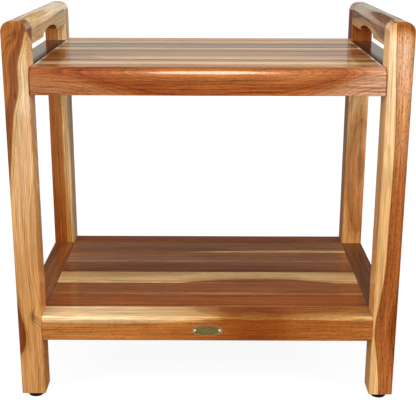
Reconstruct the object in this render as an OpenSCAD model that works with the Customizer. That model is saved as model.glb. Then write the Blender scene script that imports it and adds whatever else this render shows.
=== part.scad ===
// Teak shower bench with a slatted seat, a slatted shelf and a grip along each end.
// Millimetres, +Z up. The origin is on the floor under the middle of the bench, and
// the front of the bench faces -Y. Left is -X, as seen from the front.

/* [Overall size] */
// Width across the outer faces of the posts
bench_w = 508; // [440:1:620]
// Depth across the front and back faces of the posts
bench_d = 340; // [300:1:400]
// Height of the seat's top above the floor
seat_h = 457; // [400:1:520]
// Height of the shelf's top above the floor
shelf_h = 124; // [90:1:220]
// Height of the post heads and grips above the seat's top
arm_rise = 57; // [54:1:110]

/* [Posts] */
// Width of a post, from side to side
post_w = 32; // [30:0.5:40]
// Depth of a post, from front to back
post_d = 37; // [34:0.5:44]
// Radius of the two top corners of a post head and of a grip
head_r = 13; // [6:0.5:16]
// Round-over of the edges of a post and its head
edge_r = 2; // [1:0.25:3]

/* [Rails] */
// Height of every rail
rail_h = 34; // [32:0.5:44]
// Depth of the front and back rails, from front to back
rail_d = 37; // [28:0.5:42]
// Radius of the bullnose along the front of the seat
nose_r = 12; // [4:0.5:16]
// Radius along the top outer edge of the other front and back rails
rim_r = 4; // [2:0.5:8]
// Round-over of the other edges of the rails
rail_edge_r = 0.75; // [0.5:0.25:2]

/* [Grips] */
// Height of a grip
grip_h = 32; // [28:0.5:34]
// Length of the finger scallop under a grip
scallop_l = 109; // [60:1:150]
// Height of the finger scallop
scallop_rise = 10.5; // [7:0.5:12]
// Radius at both ends of the finger scallop
scallop_end_r = 5; // [3:0.5:6]
// Round-over of the two lower edges of a grip
grip_edge_r = 0.75; // [0.5:0.25:2]

/* [Slats] */
// Thickness of a slat
slat_t = 14; // [12:0.5:16]
// Gap for water beside each slat
slat_gap = 2; // [1:0.5:5]
// Round-over of the edges of a slat
slat_r = 1.5; // [0.5:0.25:2.5]
// Thickness of the tongue on a slat's end
tongue_t = 6; // [4:0.5:7]
// Length of the tongue on a slat's end
tongue_l = 8; // [5:0.5:10]

/* [Tenons] */
// Thickness of every tenon
tenon_t = 10; // [8:0.5:11]
// Wood left above and below a tenon
tenon_shoulder = 5; // [4:0.5:7]
// Wood left between a side tenon and the outer face of its post
outer_wall = 5; // [4:0.5:7]
// Wood left between the two rail tenons that pass each other in a post
tenon_web = 2; // [1.5:0.5:3]
// Length of the tenons on side rails and grips
side_tenon_l = 24; // [16:0.5:28]
// Height of the tenon on a grip's end
grip_tenon_h = 18; // [12:0.5:20]

/* [Battens] */
// Width of the batten under a row of slats
batten_w = 28; // [20:1:40]
// Height of the batten
batten_t = 17; // [14:0.5:18]
// Length of a batten's end that is let into a rail
batten_end_l = 8; // [5:0.5:12]
// Diameter of a batten screw's shank
screw_d = 4; // [3.5:0.1:5]
// Diameter of a batten screw's head
screw_head_d = 8; // [7:0.1:9.5]
// Length of a batten screw
screw_l = 26; // [22:0.5:28]

/* [Levelling feet] */
// Height of a foot pad, screwed right in
foot_h = 10; // [8:0.5:14]
// Diameter of a foot pad
pad_d = 22; // [18:0.5:28]
// Diameter of the stud on a foot pad
stud_d = 8; // [6:0.5:10]
// Round-over of the lower rim of a foot pad
pad_rim_r = 2.5; // [1:0.25:3]
// Round-over of the upper rim of a foot pad
pad_top_r = 0.8; // [0.5:0.1:1.5]
// Length of stud that is moulded into a pad
stud_sunk = 6; // [4:0.5:6.5]
// How far a foot screws out
foot_travel = 8; // [5:0.5:10]
// How far a stud still stands above its insert when the foot is screwed right out
stud_over = 4; // [2:0.5:6]
// Chamfer on the end of a stud
stud_point = 1; // [0.5:0.25:1.5]
// Bore left past the end of a stud
stud_room = 3; // [1:0.5:6]
// Outer diameter of the threaded insert in a post
insert_d = 12; // [11.5:0.5:15]
// Length of the threaded insert
insert_l = 16; // [10:0.5:18]

/* [Badge] */
// Width of the oval plate on the shelf's front rail
badge_w = 42.5; // [30:0.5:60]
// Height of the oval plate
badge_h = 16; // [12:0.5:20]
// Thickness of the oval plate inside its rim
badge_t = 1.2; // [1:0.1:2]
// Depth that the oval plate is let into the rail
badge_inlay = 0.9; // [0.6:0.1:1]
// Distance from the shelf's top down to the middle of the plate
badge_drop = 19; // [15:0.5:20]
// Width of the raised rim of the plate
badge_rim_w = 1.2; // [0.8:0.1:1.6]
// Height of the raised rim of the plate
badge_rim_rise = 0.3; // [0.2:0.1:0.6]
// Distance from the end of the plate to the middle of a badge pin
pin_inset = 4.5; // [4:0.5:6]
// Diameter of the shank of a badge pin
pin_d = 1.6; // [1.2:0.1:2]
// Length of the shank of a badge pin
pin_l = 6; // [4:0.5:8]
// Diameter of the domed head of a badge pin
pin_head_d = 3.4; // [2.8:0.1:4]
// Radius of the dome on a badge pin's head
pin_dome_r = 2.7; // [2.2:0.1:4]

/* [Clearances] */
// Gap on each face of a glued tenon, tongue or inlay
glue_gap = 0.15; // [0.05:0.05:0.25]
// Gap between two boards that butt together
butt_gap = 0.1; // [0.05:0.05:0.3]
// Room past the end of a tenon, tongue or pin
end_gap = 0.5; // [0.3:0.1:1]
// Radial clearance of a stud in its insert and pad, and of a badge pin in its hole
thread_gap = 0.08; // [0.04:0.01:0.1]
// Radial clearance of a stud in the post above its insert
bore_gap = 0.5; // [0.3:0.1:1]
// Gap between a foot pad and its post
pad_gap = 0.2; // [0.1:0.1:0.5]

/* [Hidden] */

LEFT = -1;
RIGHT = 1;
FRONT = -1;
BACK = 1;
SLAT_COUNT = 6;
ARC_FACES = 64; // sides of a full circle
PIN_FACES = 32; // sides of a full circle on a badge pin
CUT_OVER = 1; // how far a cutter runs past the wood
HEAD_FLAT = 2; // least width of flat that is left on top of a post

// Where things are
arm_h = seat_h + arm_rise;
post_x = (bench_w - post_w) / 2;
post_y = (bench_d - post_d) / 2;
inner_x = bench_w / 2 - post_w;
inner_y = bench_d / 2 - post_d;
clear_w = 2 * inner_x;
clear_d = 2 * inner_y;
head_round = min(head_r, (post_w - HEAD_FLAT) / 2);
grip_round = min(head_round, grip_h / 2);
nose_round = min(nose_r, rail_h / 2, rail_d / 2);

// Tenons: the long rails' tenons stop short of the side rails' tenons inside the post
long_tenon_l = post_w - outer_wall - tenon_t - tenon_web;
tenon_h = rail_h - 2 * tenon_shoulder;
side_tenon_x = bench_w / 2 - outer_wall - tenon_t / 2;
grip_tenon_z = arm_h - grip_h / 2;

// Slats
slat_pitch = (bench_d - 2 * rail_d - slat_gap) / SLAT_COUNT;
slat_w = slat_pitch - slat_gap;
tongue_drop = slat_t / 2; // from the slat's top to the middle of its tongue

// Screws and studs
countersink_l = (screw_head_d - screw_d) / 2;
stud_l = insert_l + foot_travel + stud_over; // above the pad

// Colours, from the darkest heartwood to the palest sapwood
TEAK_DARK = [0.42, 0.22, 0.10];
TEAK_BROWN = [0.55, 0.31, 0.15];
TEAK_RED = [0.62, 0.34, 0.18];
TEAK_GOLD = [0.70, 0.43, 0.20];
TEAK_TAN = [0.80, 0.60, 0.38];
TEAK_PALE = [0.88, 0.70, 0.48];
SEAT_SLAT_TONES = [TEAK_BROWN, TEAK_GOLD, TEAK_TAN, TEAK_BROWN, TEAK_RED, TEAK_TAN];
SHELF_SLAT_TONES = [TEAK_RED, TEAK_RED, TEAK_TAN, TEAK_DARK, TEAK_BROWN, TEAK_BROWN];
NYLON = [0.06, 0.06, 0.06];
STEEL = [0.72, 0.73, 0.75];
BRASS = [0.62, 0.55, 0.30];

// ---------------------------------------------------------------- board sections

// Cuts one corner of a board, at the origin with the board in the first quadrant
module corner_cut(r) {
    difference() {
        translate([-CUT_OVER, -CUT_OVER]) square(r + CUT_OVER);
        translate([r, r]) circle(r, $fn = ARC_FACES);
    }
}

// A board's section centred on the origin, with a radius at each corner: [bottom left,
// bottom right, top right, top left]
module board_section(w, h, radii) {
    corners = [[-w / 2, -h / 2], [w / 2, -h / 2], [w / 2, h / 2], [-w / 2, h / 2]];
    difference() {
        square([w, h], center = true);
        for (i = [0:3])
            translate(corners[i]) rotate(90 * i) corner_cut(radii[i]);
    }
}

// Turns a section in X and Y into a board along X, with the section's X along Y
module along_x(length) {
    rotate([90, 0, 90])
        linear_extrude(length, center = true) children();
}

// Turns a section in X and Y into a board along Y, seen from the front
module along_y(length) {
    rotate([90, 0, 0])
        linear_extrude(length, center = true) children();
}

// A block centred on the origin
module block(x, y, z) {
    cube([x, y, z], center = true);
}

// ---------------------------------------------------------------- posts

// A round slab standing on its rim, axis along Y, with rounded rims
module rounded_slab(r, depth, rim) {
    rotate([90, 0, 0])
        rotate_extrude($fn = ARC_FACES)
            intersection() {
                board_section(2 * r, depth, [rim, rim, rim, rim]);
                translate([0, -depth]) square(2 * depth);
            }
}

// The arched head of a post: its two top corners are round and so is every edge
module post_head() {
    corner_x = post_w / 2 - head_round;
    intersection() {
        union() {
            for (side = [-1, 1])
                translate([side * corner_x, 0, 0]) rounded_slab(head_round, post_d, edge_r);
            along_x(2 * corner_x)
                board_section(post_d, 2 * head_round, [edge_r, edge_r, edge_r, edge_r]);
        }
        translate([0, 0, head_round]) block(2 * post_w, 2 * post_d, 2 * head_round);
    }
}

// A mortise, a little larger than the tenon that goes into it
module mortise(x, y, z) {
    block(x + 2 * glue_gap, y + 2 * glue_gap, z + 2 * glue_gap);
}

// Mortises of one pair of rails in the left front post, whose middle is the origin
module rail_mortises(top) {
    long_l = long_tenon_l + end_gap;
    side_l = side_tenon_l + end_gap;
    translate([(post_w - long_l + CUT_OVER) / 2, 0, top - rail_h / 2])
        mortise(long_l + CUT_OVER, tenon_t, tenon_h);
    translate([post_x - side_tenon_x, (post_d - side_l + CUT_OVER) / 2, top - rail_h / 2])
        mortise(tenon_t, side_l + CUT_OVER, tenon_h);
}

// The post at the left front corner, about its own axis
module corner_post() {
    side_l = side_tenon_l + end_gap;
    difference() {
        union() {
            translate([0, 0, foot_h])
                linear_extrude(arm_h - head_round - foot_h)
                    board_section(post_w, post_d, [edge_r, edge_r, edge_r, edge_r]);
            translate([0, 0, arm_h - head_round]) post_head();
        }
        rail_mortises(seat_h);
        rail_mortises(shelf_h);
        translate([0, (post_d - side_l + CUT_OVER) / 2, grip_tenon_z])
            mortise(tenon_t, side_l + CUT_OVER, grip_tenon_h);
        foot_bore();
    }
}

// The stepped bore in the end of a post for its insert and stud
module foot_bore() {
    insert_bore_l = insert_l + glue_gap;
    stud_bore_l = stud_l + stud_room;
    translate([0, 0, foot_h - CUT_OVER])
        cylinder(h = insert_bore_l + CUT_OVER, d = insert_d + 2 * glue_gap, $fn = ARC_FACES);
    translate([0, 0, foot_h - CUT_OVER])
        cylinder(h = stud_bore_l + CUT_OVER, d = stud_d + 2 * bore_gap, $fn = ARC_FACES);
}

// Puts what is drawn for the left front post at any corner of the bench
module at_corner(side, end) {
    translate([side * post_x, end * post_y, 0])
        mirror([side == RIGHT ? 1 : 0, 0, 0])
            mirror([0, end == BACK ? 1 : 0, 0])
                children();
}

module post(side, end, tone) {
    color(tone) at_corner(side, end) corner_post();
}

// ---------------------------------------------------------------- grips

// The outline of a finger scallop: a flat arch of three arcs that meet smoothly
module scallop_outline() {
    half = scallop_l / 2;
    end_x = half - scallop_end_r;
    rise = scallop_rise;
    crown_r = (end_x * end_x + rise * rise - scallop_end_r * scallop_end_r)
        / (2 * (rise - scallop_end_r));
    meet_x = end_x * crown_r / (crown_r - scallop_end_r);
    intersection() {
        translate([0, rise - crown_r]) circle(crown_r, $fn = 8 * ARC_FACES);
        translate([-meet_x, 0]) square([2 * meet_x, rise + CUT_OVER]);
    }
    for (side = [-1, 1])
        translate([side * end_x, 0]) circle(scallop_end_r, $fn = ARC_FACES);
    translate([-half, -CUT_OVER]) square([scallop_l, CUT_OVER]);
}

// A grip: the post head's own outline carried from post to post, with a tenon at each end
module grip(side, tone) {
    under = arm_h - grip_h;
    color(tone)
        translate([side * post_x, 0, 0])
            difference() {
                union() {
                    translate([0, 0, under + grip_h / 2])
                        along_y(clear_d - 2 * butt_gap)
                            board_section(post_w, grip_h, [grip_edge_r, grip_edge_r, grip_round, grip_round]);
                    translate([0, 0, grip_tenon_z])
                        block(tenon_t, clear_d + 2 * side_tenon_l, grip_tenon_h);
                }
                translate([0, 0, under])
                    along_x(post_w + 2 * CUT_OVER) scallop_outline();
            }
}

// ---------------------------------------------------------------- rails

// A front rail with its tenons, its pockets and its shaped top front edge
module long_rail(end, top, outer_r, tone) {
    batten_top = top - slat_t;
    color(tone)
        mirror([0, end == BACK ? 1 : 0, 0])
            difference() {
                translate([0, (rail_d - bench_d) / 2, top - rail_h / 2]) {
                    along_x(clear_w - 2 * butt_gap)
                        board_section(rail_d, rail_h, [rail_edge_r, rail_edge_r, slat_r, outer_r]);
                    translate([0, (post_d - rail_d) / 2, 0])
                        block(clear_w + 2 * long_tenon_l, tenon_t, tenon_h);
                }
                translate([0, rail_d - bench_d / 2, batten_top - batten_t / 2])
                    mortise(batten_w, 2 * (batten_end_l + end_gap), batten_t);
            }
}

// A side rail between two posts, grooved along its inner face for the slats' tongues
module side_rail(side, top, tone) {
    groove_l = tongue_l + end_gap;
    color(tone)
        mirror([side == LEFT ? 1 : 0, 0, 0])
            difference() {
                union() {
                    translate([post_x, 0, top - rail_h / 2])
                        along_y(clear_d - 2 * butt_gap)
                            board_section(post_w, rail_h, [rail_edge_r, rail_edge_r, rail_edge_r, slat_r]);
                    translate([side_tenon_x, 0, top - rail_h / 2])
                        block(tenon_t, clear_d + 2 * side_tenon_l, tenon_h);
                }
                translate([inner_x + (groove_l - CUT_OVER) / 2, 0, top - tongue_drop])
                    mortise(groove_l + CUT_OVER, clear_d, tongue_t);
            }
}

// ---------------------------------------------------------------- slats and battens

// The middle of slat i, counted from the front
function slat_y(i) = -bench_d / 2 + rail_d + slat_gap / 2 + (i - 0.5) * slat_pitch;

// The holes that the screws need in a batten and in the slats over it
module screw_holes(top) {
    for (i = [1:SLAT_COUNT])
        translate([0, slat_y(i), top - slat_t - batten_t - CUT_OVER])
            cylinder(h = screw_l + CUT_OVER + glue_gap, d = screw_d + 2 * glue_gap, $fn = ARC_FACES);
}

// A slat with eased edges all round and a tongue on each end
module slat(i, top, tone) {
    body_l = clear_w - 2 * butt_gap;
    eased = [slat_r, slat_r, slat_r, slat_r];
    color(tone)
        difference() {
            union() {
                translate([0, slat_y(i), top - slat_t / 2])
                    intersection() {
                        along_x(body_l) board_section(slat_w, slat_t, eased);
                        along_y(slat_w) board_section(body_l, slat_t, eased);
                    }
                translate([0, slat_y(i), top - tongue_drop])
                    block(clear_w + 2 * tongue_l, slat_w - 2 * slat_r, tongue_t);
            }
            screw_holes(top);
        }
}

// The batten that ties a row of slats together underneath
module batten(top, tone) {
    length = bench_d - 2 * rail_d + 2 * batten_end_l;
    under = top - slat_t - batten_t;
    color(tone)
        difference() {
            translate([0, 0, under + (batten_t - butt_gap) / 2])
                along_y(length)
                    board_section(batten_w, batten_t - butt_gap, [slat_r, slat_r, slat_r, slat_r]);
            screw_holes(top);
            for (i = [1:SLAT_COUNT])
                translate([0, slat_y(i), under]) screw_head(glue_gap);
        }
}

// A countersunk head with its flat face down, at the origin
module screw_head(gap) {
    translate([0, 0, -gap])
        cylinder(
            h = countersink_l + gap,
            d1 = screw_head_d + 2 * gap,
            d2 = screw_d + 2 * gap,
            $fn = ARC_FACES
        );
}

// The screws that hold a batten to its slats
module batten_screws(top) {
    color(STEEL)
        for (i = [1:SLAT_COUNT])
            translate([0, slat_y(i), top - slat_t - batten_t]) {
                screw_head(0);
                cylinder(h = screw_l, d = screw_d, $fn = ARC_FACES);
            }
}

// ---------------------------------------------------------------- badge

// An ellipse, from its formula
module oval(w, h) {
    polygon([for (i = [0:ARC_FACES - 1])
        [w / 2 * cos(360 * i / ARC_FACES), h / 2 * sin(360 * i / ARC_FACES)]]);
}

// The middle of the badge on the face of the shelf's front rail, with its front up
module at_badge() {
    translate([0, -bench_d / 2, shelf_h - badge_drop])
        rotate([90, 0, 0])
            children();
}

// Where the two badge pins are
module at_badge_pins() {
    for (side = [-1, 1])
        translate([side * (badge_w / 2 - pin_inset), 0, 0]) children();
}

// A hole for a badge pin
module pin_hole(depth) {
    cylinder(h = depth, r = pin_d / 2 + thread_gap, $fn = PIN_FACES);
}

// The oval plate: a plain field inside a raised rim
module badge_plate() {
    color(BRASS)
        at_badge()
            translate([0, 0, -badge_inlay])
                difference() {
                    linear_extrude(badge_t + badge_rim_rise) oval(badge_w, badge_h);
                    translate([0, 0, badge_t])
                        linear_extrude(badge_rim_rise + CUT_OVER)
                            oval(badge_w - 2 * badge_rim_w, badge_h - 2 * badge_rim_w);
                    at_badge_pins()
                        translate([0, 0, -CUT_OVER]) pin_hole(badge_t + 2 * CUT_OVER);
                }
}

// The two pins that hold the plate
module badge_pins() {
    dome_rise = pin_dome_r - sqrt(pin_dome_r * pin_dome_r - pin_head_d * pin_head_d / 4);
    color(BRASS)
        at_badge()
            at_badge_pins()
                translate([0, 0, badge_t - badge_inlay]) {
                    translate([0, 0, -pin_l]) cylinder(h = pin_l, d = pin_d, $fn = PIN_FACES);
                    intersection() {
                        translate([0, 0, dome_rise - pin_dome_r]) sphere(pin_dome_r, $fn = ARC_FACES);
                        cylinder(h = 2 * dome_rise, d = 2 * pin_head_d, $fn = PIN_FACES);
                    }
                }
}

// The shelf's front rail has a recess for the plate and holes for its pins
module shelf_front_rail() {
    hole_l = pin_l - badge_t + badge_inlay + end_gap;
    difference() {
        long_rail(FRONT, shelf_h, rim_r, TEAK_GOLD);
        at_badge() {
            translate([0, 0, -badge_inlay - glue_gap / 2])
                linear_extrude(badge_inlay + CUT_OVER) oval(badge_w + 2 * glue_gap, badge_h + 2 * glue_gap);
            at_badge_pins()
                translate([0, 0, -hole_l]) pin_hole(hole_l);
        }
    }
}

// ---------------------------------------------------------------- levelling feet

// The brass insert glued in the end of a post
module insert(side, end) {
    color(BRASS)
        at_corner(side, end)
            translate([0, 0, foot_h])
                difference() {
                    cylinder(h = insert_l, d = insert_d, $fn = ARC_FACES);
                    translate([0, 0, -CUT_OVER])
                        cylinder(h = insert_l + 2 * CUT_OVER, r = stud_d / 2 + thread_gap, $fn = ARC_FACES);
                }
}

// The steel stud of a foot, from inside the pad up into the insert
module stud(side, end) {
    plain_l = stud_sunk + stud_l - stud_point;
    color(STEEL)
        at_corner(side, end)
            translate([0, 0, foot_h - stud_sunk]) {
                cylinder(h = plain_l, d = stud_d, $fn = ARC_FACES);
                translate([0, 0, plain_l])
                    cylinder(h = stud_point, d1 = stud_d, d2 = stud_d - 2 * stud_point, $fn = ARC_FACES);
            }
}

// The nylon pad that stands on the floor: a turned disc with a soft lower rim
module pad(side, end) {
    pad_h = foot_h - pad_gap;
    socket_z = foot_h - stud_sunk - pad_gap;
    color(NYLON)
        at_corner(side, end)
            difference() {
                translate([0, 0, pad_h / 2])
                    rotate_extrude($fn = ARC_FACES)
                        intersection() {
                            board_section(pad_d, pad_h, [pad_rim_r, pad_rim_r, pad_top_r, pad_top_r]);
                            translate([0, -pad_h]) square([pad_d, 2 * pad_h]);
                        }
                translate([0, 0, socket_z])
                    cylinder(h = pad_h, r = stud_d / 2 + thread_gap, $fn = ARC_FACES);
            }
}

// ---------------------------------------------------------------- the bench

post(LEFT, FRONT, TEAK_PALE);  // left_front_post
post(RIGHT, FRONT, TEAK_GOLD);  // right_front_post
post(LEFT, BACK, TEAK_GOLD);  // left_back_post
post(RIGHT, BACK, TEAK_GOLD);  // right_back_post
grip(LEFT, TEAK_TAN);  // left_grip
grip(RIGHT, TEAK_BROWN);  // right_grip

long_rail(FRONT, seat_h, nose_round, TEAK_RED);  // seat_front_rail
long_rail(BACK, seat_h, rim_r, TEAK_BROWN);  // seat_back_rail
side_rail(LEFT, seat_h, TEAK_DARK);  // seat_left_rail
side_rail(RIGHT, seat_h, TEAK_DARK);  // seat_right_rail
slat(1, seat_h, SEAT_SLAT_TONES[0]);  // seat_slat_1
slat(2, seat_h, SEAT_SLAT_TONES[1]);  // seat_slat_2
slat(3, seat_h, SEAT_SLAT_TONES[2]);  // seat_slat_3
slat(4, seat_h, SEAT_SLAT_TONES[3]);  // seat_slat_4
slat(5, seat_h, SEAT_SLAT_TONES[4]);  // seat_slat_5
slat(6, seat_h, SEAT_SLAT_TONES[5]);  // seat_slat_6
batten(seat_h, TEAK_BROWN);  // seat_batten
batten_screws(seat_h);  // seat_batten_screws

shelf_front_rail();
long_rail(BACK, shelf_h, rim_r, TEAK_BROWN);  // shelf_back_rail
side_rail(LEFT, shelf_h, TEAK_DARK);  // shelf_left_rail
side_rail(RIGHT, shelf_h, TEAK_DARK);  // shelf_right_rail
slat(1, shelf_h, SHELF_SLAT_TONES[0]);  // shelf_slat_1
slat(2, shelf_h, SHELF_SLAT_TONES[1]);  // shelf_slat_2
slat(3, shelf_h, SHELF_SLAT_TONES[2]);  // shelf_slat_3
slat(4, shelf_h, SHELF_SLAT_TONES[3]);  // shelf_slat_4
slat(5, shelf_h, SHELF_SLAT_TONES[4]);  // shelf_slat_5
slat(6, shelf_h, SHELF_SLAT_TONES[5]);  // shelf_slat_6
batten(shelf_h, TEAK_BROWN);  // shelf_batten
batten_screws(shelf_h);  // shelf_batten_screws

badge_plate();
badge_pins();

insert(LEFT, FRONT);  // left_front_insert
insert(RIGHT, FRONT);  // right_front_insert
insert(LEFT, BACK);  // left_back_insert
insert(RIGHT, BACK);  // right_back_insert
stud(LEFT, FRONT);  // left_front_stud
stud(RIGHT, FRONT);  // right_front_stud
stud(LEFT, BACK);  // left_back_stud
stud(RIGHT, BACK);  // right_back_stud
pad(LEFT, FRONT);  // left_front_pad
pad(RIGHT, FRONT);  // right_front_pad
pad(LEFT, BACK);  // left_back_pad
pad(RIGHT, BACK);  // right_back_pad
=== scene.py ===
# Teak shower bench: a slatted seat over a slatted shelf, in a frame of four posts and two grips.
# Metres, +Z up, the front towards -Y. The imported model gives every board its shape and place.
import math
import bmesh
import bpy
from mathutils import Euler, Matrix, Vector


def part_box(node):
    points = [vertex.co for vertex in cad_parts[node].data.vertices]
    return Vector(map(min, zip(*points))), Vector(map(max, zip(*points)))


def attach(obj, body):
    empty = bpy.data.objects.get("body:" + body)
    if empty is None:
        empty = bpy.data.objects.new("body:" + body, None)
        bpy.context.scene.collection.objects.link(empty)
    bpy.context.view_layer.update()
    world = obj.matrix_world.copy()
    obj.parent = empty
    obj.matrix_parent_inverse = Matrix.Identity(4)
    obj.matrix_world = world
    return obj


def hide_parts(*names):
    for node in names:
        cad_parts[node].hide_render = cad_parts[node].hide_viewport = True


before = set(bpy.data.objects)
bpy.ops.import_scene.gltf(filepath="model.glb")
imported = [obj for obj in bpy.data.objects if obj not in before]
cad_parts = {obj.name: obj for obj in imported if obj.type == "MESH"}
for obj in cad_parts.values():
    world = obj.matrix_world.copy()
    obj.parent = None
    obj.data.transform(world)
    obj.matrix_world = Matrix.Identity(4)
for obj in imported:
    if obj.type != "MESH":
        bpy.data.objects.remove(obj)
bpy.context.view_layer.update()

# ---------------------------------------------------------------- posts
# Four posts of solid teak, planed square, rounded over along their edges and arched on top,
# then oiled and buffed to a satin sheen. They are sawn from near the bark, so bands of pale
# sapwood run beside the brown heartwood.


def shade(red, green, blue):
    """A colour as it looks on the finished wood, 0 to 255, as the linear values that a shader
    takes, by the sRGB curve."""
    return tuple(((c / 255 + 0.055) / 1.055) ** 2.4 for c in (red, green, blue)) + (1,)


def wire(tree, kind, inputs, **settings):
    """Adds a shader node. Each input is a value, or the output of another node to link."""
    made = tree.nodes.new("ShaderNode" + kind)
    for name, value in settings.items():
        setattr(made, name, value)
    for name, value in inputs.items():
        if isinstance(value, bpy.types.NodeSocket):
            tree.links.new(value, made.inputs[name])
        else:
            made.inputs[name].default_value = value
    return made


def calc(tree, operation, *terms, clamp=False):
    """A Math node's output."""
    return wire(tree, "Math", dict(enumerate(terms)), operation=operation, use_clamp=clamp).outputs[0]


def place_on(tree):
    """A point's place on the bench, in metres."""
    return wire(tree, "TexCoord", {}).outputs["Object"]


def apart(tree, place):
    """The X, Y and Z of a place."""
    return wire(tree, "SeparateXYZ", {0: place}).outputs


def noise(tree, place, pace, seed, detail=2.0, rough=0.5):
    """A noise pattern. pace is in cycles a metre along X, Y and Z."""
    scaled = wire(tree, "VectorMath", {0: place, 1: pace}, operation="MULTIPLY").outputs[0]
    return wire(tree, "TexNoise", {"Vector": scaled, "W": seed, "Scale": 1.0, "Detail": detail,
                                   "Roughness": rough}, noise_dimensions="4D").outputs["Fac"]


def ramp(tree, value, low, high):
    """Carries value smoothly from 0 at low to 1 at high."""
    return wire(tree, "MapRange", {"Value": value, "From Min": low, "From Max": high},
                interpolation_type="SMOOTHSTEP").outputs["Result"]


def blend(tree, share, first, second, mode="MIX"):
    """Mixes two colours."""
    made = wire(tree, "Mix", {"Factor": share}, data_type="RGBA", blend_type=mode)
    for socket, colour in zip((made.inputs[6], made.inputs[7]), (first, second)):
        if isinstance(colour, bpy.types.NodeSocket):
            tree.links.new(colour, socket)
        else:
            socket.default_value = colour
    return made.outputs[2]


def new_finish(name):
    """A new material, its node tree and its shader."""
    material = bpy.data.materials.new(name)
    material.use_nodes = True
    return material, material.node_tree, material.node_tree.nodes["Principled BSDF"]


def emboss(tree, height, strength, distance):
    """Raises and sinks a surface by a pattern. distance is in metres."""
    bump = wire(tree, "Bump", {"Height": height, "Strength": strength, "Distance": distance})
    tree.links.new(bump.outputs[0], tree.nodes["Principled BSDF"].inputs["Normal"])


def dress(node, material):
    """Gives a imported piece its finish."""
    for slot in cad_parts[node].material_slots:
        slot.material = material


def group(name, takes, gives):
    """An empty shader node group with its sockets, each named with its kind."""
    tree = bpy.data.node_groups.new(name, "ShaderNodeTree")
    for sockets, way in ((takes, "INPUT"), (gives, "OUTPUT")):
        for socket, kind in sockets.items():
            tree.interface.new_socket(socket, in_out=way, socket_type="NodeSocket" + kind)
    return tree, tree.nodes.new("NodeGroupInput").outputs, tree.nodes.new("NodeGroupOutput").inputs


MEAN = 0.5  # of a noise pattern, which runs from 0 to 1
WANDER_SQUEEZE = 3.0  # how much faster the shells wander across a trunk than along it


def trunk_group():
    """Growth rings are shells round the pith of a trunk. Place is the distance from the pith, with
    X along the trunk. Shell is how far out a point's shell lies: it wanders and follows the Bend."""
    tree, given, result = group("trunk", {
        "Place": "Vector", "Seed": "Float", "Bend": "Float", "Wander": "Float", "Reach": "Float"},
        {"Shell": "Float"})
    pace = calc(tree, "DIVIDE", 1.0, given["Reach"])
    across_pace = calc(tree, "MULTIPLY", pace, WANDER_SQUEEZE)
    paces = wire(tree, "CombineXYZ", {0: pace, 1: across_pace, 2: across_pace}).outputs[0]
    slow = calc(tree, "SUBTRACT", noise(tree, given["Place"], paces, given["Seed"]), MEAN)
    off_axis = wire(tree, "VectorMath", {0: given["Place"], 1: (0, 1, 1)}, operation="MULTIPLY").outputs[0]
    radius = wire(tree, "VectorMath", {0: off_axis}, operation="LENGTH").outputs["Value"]
    bent = calc(tree, "ADD", radius, given["Bend"])
    tree.links.new(calc(tree, "MULTIPLY_ADD", slow, given["Wander"], bent), result["Shell"])
    return tree


# A knot's eye is longer along the trunk, the shells swell round it, and its core is tight
KNOT_SQUASH, KNOT_SWELL, KNOT_CORE = 0.42, 1.1, 4.0


def knot_group():
    """A knot in the trunk: the shells swell round its Centre, and its core counts as Knot."""
    tree, given, result = group("knot", {
        "Place": "Vector", "Shell": "Float", "Knot": "Float", "Centre": "Vector", "Size": "Float"},
        {"Shell": "Float", "Knot": "Float"})
    gap = wire(tree, "VectorMath", {0: given["Place"], 1: given["Centre"]}, operation="SUBTRACT").outputs[0]
    gap = wire(tree, "VectorMath", {0: gap, 1: (KNOT_SQUASH, 1, 1)}, operation="MULTIPLY").outputs[0]
    gap = wire(tree, "VectorMath", {0: gap}, operation="LENGTH").outputs["Value"]
    gap = calc(tree, "DIVIDE", gap, given["Size"])
    near = calc(tree, "EXPONENT", calc(tree, "MULTIPLY", calc(tree, "MULTIPLY", gap, gap), -1.0))
    swell = calc(tree, "MULTIPLY", near, given["Size"])
    tree.links.new(calc(tree, "MULTIPLY_ADD", swell, KNOT_SWELL, given["Shell"]), result["Shell"])
    core = calc(tree, "POWER", near, KNOT_CORE)
    tree.links.new(calc(tree, "ADD", given["Knot"], core), result["Knot"])
    return tree


# The patterns in the figure, in cycles a metre. UNEVEN and RUNS run along the trunk and outwards
# through its shells, the others along the trunk and across it.
UNEVEN, RUNS = (1.2, 75, 1), (2.2, 150, 1)
JITTER, PATCHES = (30, 300, 300), (8, 60, 60)
LONG_FIBRES, SHORT_FIBRES, DASHES = (9, 420, 420), (40, 900, 900), (200, 800, 800)
UNEVEN_RINGS, JITTER_RINGS = 3.0, 0.35  # by how many rings' widths they shift the rings
# Shares of a ring's width: it is pale until PALE_TO, darkens from RIPE_FROM and is darkest at STOP
PALE_FROM, PALE_TO, RIPE_FROM, STOP = 0.06, 0.28, 0.45, 0.93
RING_MEAN = 0.08  # about what a ring adds on average, so that rings leave the board's tone as it is
PORE_FROM, PORE_TO = 0.54, 0.64  # a dash of noise over the first starts a pore
LONG_SHARE = 1.1  # of the long fibres in the hairs, against 1 of the short ones
HAIR_MEAN = MEAN * (1 + LONG_SHARE)
# How bright the palest and the darkest wood are, between which a pattern grows, and its least share
PORE_WOOD, RUN_WOOD, STAIN_WOOD = (0.62, 0.4, 0.0), (0.5, 0.2, 0.3), (0.68, 0.5, 0.35)
# What each pattern adds to the depth of colour, to the roughness and to the height
PATCH_DEPTH, PALE_DEPTH, PORE_DEPTH, KNOT_DEPTH = 0.5, -0.8, 0.5, 0.7
PLAIN_ROUGH, HAIR_ROUGH, PORE_ROUGH = 0.45, 0.15, 0.2
FIBRE_HEIGHT, PORE_HEIGHT, RING_HEIGHT = 0.5, -0.6, -0.3
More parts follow.
